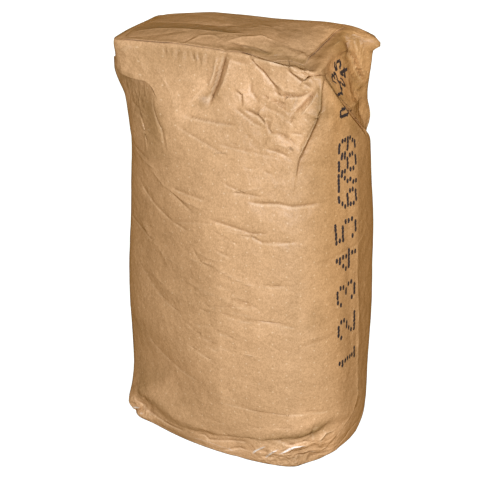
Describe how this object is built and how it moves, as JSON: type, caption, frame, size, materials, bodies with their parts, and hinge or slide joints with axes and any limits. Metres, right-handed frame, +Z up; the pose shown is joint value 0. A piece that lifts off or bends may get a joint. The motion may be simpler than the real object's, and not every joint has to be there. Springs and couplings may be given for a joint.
{
  "type": "filled paper sack of quartz sand",
  "caption": "Tall closed kraft-paper sack filled with quartz sand, with folded and pasted block ends, a tucked valve end and a soft belly.",
  "frame": {"origin": "on the floor, under the middle of the standing sack's outline", "axes": "+Z up, along the sack's height; +X towards the valve end; the wide front faces -Y"},
  "size_m": [0.284, 0.174, 0.495],
  "materials": {
    "kraft_paper": "brown kraft sack paper, creased, with a soft sheen",
    "cover_paper": "brown kraft sheet pasted over the ends",
    "quartz_sand": "pale dry quartz sand, packed"
  },
  "bodies": {
    "root": {"paper_sack": "kraft_paper", "sand_fill": "quartz_sand", "top_cover_sheet": "cover_paper", "bottom_cover_sheet": "cover_paper"}
  },
  "joints": []
}
